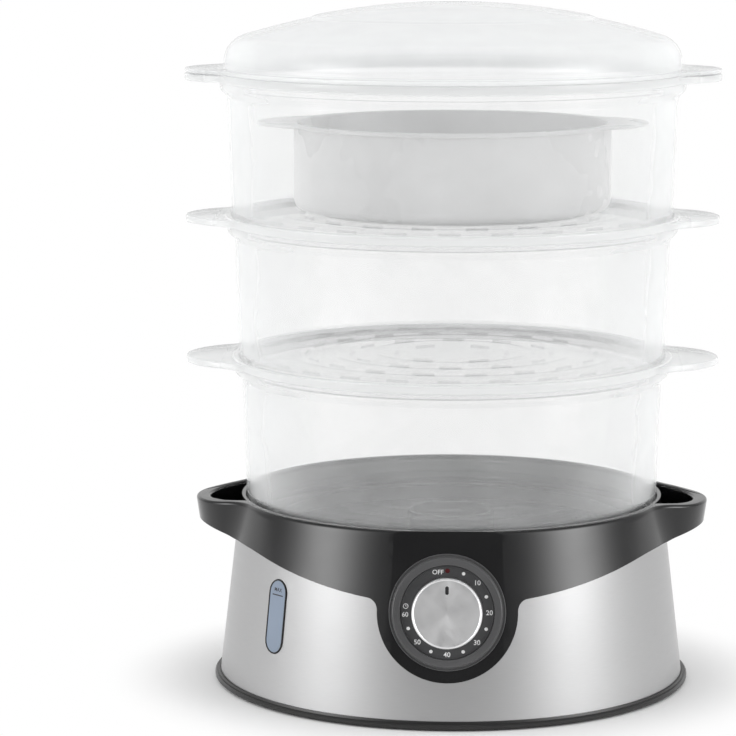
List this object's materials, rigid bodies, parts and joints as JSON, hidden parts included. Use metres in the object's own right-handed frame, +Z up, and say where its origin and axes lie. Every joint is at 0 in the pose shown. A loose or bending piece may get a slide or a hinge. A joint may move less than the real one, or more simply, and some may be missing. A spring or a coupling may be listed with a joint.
{
  "type": "electric food steamer",
  "caption": "Electric food steamer: round steel-skirted water base with a front timer dial and side fill handles, stacked clear baskets with ears, a white rice bowl and a domed clear lid.",
  "frame": {"origin": "on the table under the common axis of the baskets, at the middle of the circle of the four feet", "axes": "+Z up along the baskets' axis; the dial faces -Y; +X points to the user's right-hand handle, and the water level window is on the -X side of the front"},
  "size_m": [0.3176, 0.2958, 0.405],
  "materials": {
    "black_base": "satin black",
    "black_housing": "high gloss black",
    "foot_rubber": "matte",
    "skirt_steel": "brushed round the skirt",
    "screw_steel": "plated",
    "tank_plastic": "satin",
    "window_plastic": "hazy and translucent",
    "seal_rubber": "satin",
    "dish_aluminium": "coated",
    "heater_silicone": "matte",
    "heater_sheath": "oxidised",
    "brown_plastic": "satin",
    "cream_plastic": "satin",
    "ring_plastic": "satin",
    "tray_plastic": "satin",
    "bell_brass": "satin",
    "bezel_plastic": "satin grey",
    "scale_plastic": "dark grey with white marks",
    "lamp_red": "glossy",
    "knob_aluminium": "finely brushed with a bright rim",
    "wire_plastic": "satin",
    "clear_plastic": "clear and slightly hazy",
    "bowl_plastic": "satin white",
    "lid_plastic": "clear and slightly smoky"
  },
  "bodies": {
    "base": {"base_pan": "black_base", "base_feet": "foot_rubber", "base_screws": "screw_steel", "steel_skirt": "skirt_steel", "upper_housing": "black_housing", "water_reservoir": "tank_plastic", "level_window": "window_plastic", "window_seal": "seal_rubber", "heater_dish": "dish_aluminium", "heater_seal": "heater_silicone", "heater_tube": "heater_sheath", "heater_clamp": "screw_steel", "heater_screws": "screw_steel", "thermostat": "brown_plastic", "thermal_fuse": "cream_plastic", "timer_body": "cream_plastic", "timer_bracket": "screw_steel", "timer_screws": "screw_steel", "timer_bell": "bell_brass", "dial_bezel": "bezel_plastic", "dial_plate": "scale_plastic", "indicator_lamp": "lamp_red", "terminal_block": "cream_plastic", "lead_wires": "wire_plastic", "cord_gland": "seal_rubber"},
    "dial": {"knob_body": "black_base", "knob_cap": "knob_aluminium", "timer_shaft": "screw_steel"},
    "steam_ring": {"steam_ring": "ring_plastic"},
    "drip_tray": {"drip_tray": "tray_plastic"},
    "basket_1": {"basket_1": "clear_plastic"},
    "basket_2": {"basket_2": "clear_plastic"},
    "basket_3": {"basket_3": "clear_plastic"},
    "rice_bowl": {"rice_bowl": "bowl_plastic"},
    "lid": {"lid": "lid_plastic"}
  },
  "joints": [
    {"name": "dial_turn", "type": "hinge", "parent": "base", "child": "dial", "pos_m": [0, -0.133, 0.067], "axis": [0, 0.9848, -0.1736], "range_deg": [0, 270]},
    {"name": "steam_ring_lift", "type": "slide", "parent": "base", "child": "steam_ring", "axis": [0, 0, 1], "range_m": [0, 0.08]},
    {"name": "drip_tray_lift", "type": "slide", "parent": "steam_ring", "child": "drip_tray", "axis": [0, 0, 1], "range_m": [0, 0.04]},
    {"name": "basket_1_lift", "type": "slide", "parent": "drip_tray", "child": "basket_1", "axis": [0, 0, 1], "range_m": [0, 0.04]},
    {"name": "basket_2_lift", "type": "slide", "parent": "basket_1", "child": "basket_2", "axis": [0, 0, 1], "range_m": [0, 0.04]},
    {"name": "basket_3_lift", "type": "slide", "parent": "basket_2", "child": "basket_3", "axis": [0, 0, 1], "range_m": [0, 0.04]},
    {"name": "rice_bowl_lift", "type": "slide", "parent": "basket_3", "child": "rice_bowl", "axis": [0, 0, 1], "range_m": [0, 0.09]},
    {"name": "lid_lift", "type": "slide", "parent": "rice_bowl", "child": "lid", "axis": [0, 0, 1], "range_m": [0, 0.06]}
  ]
}
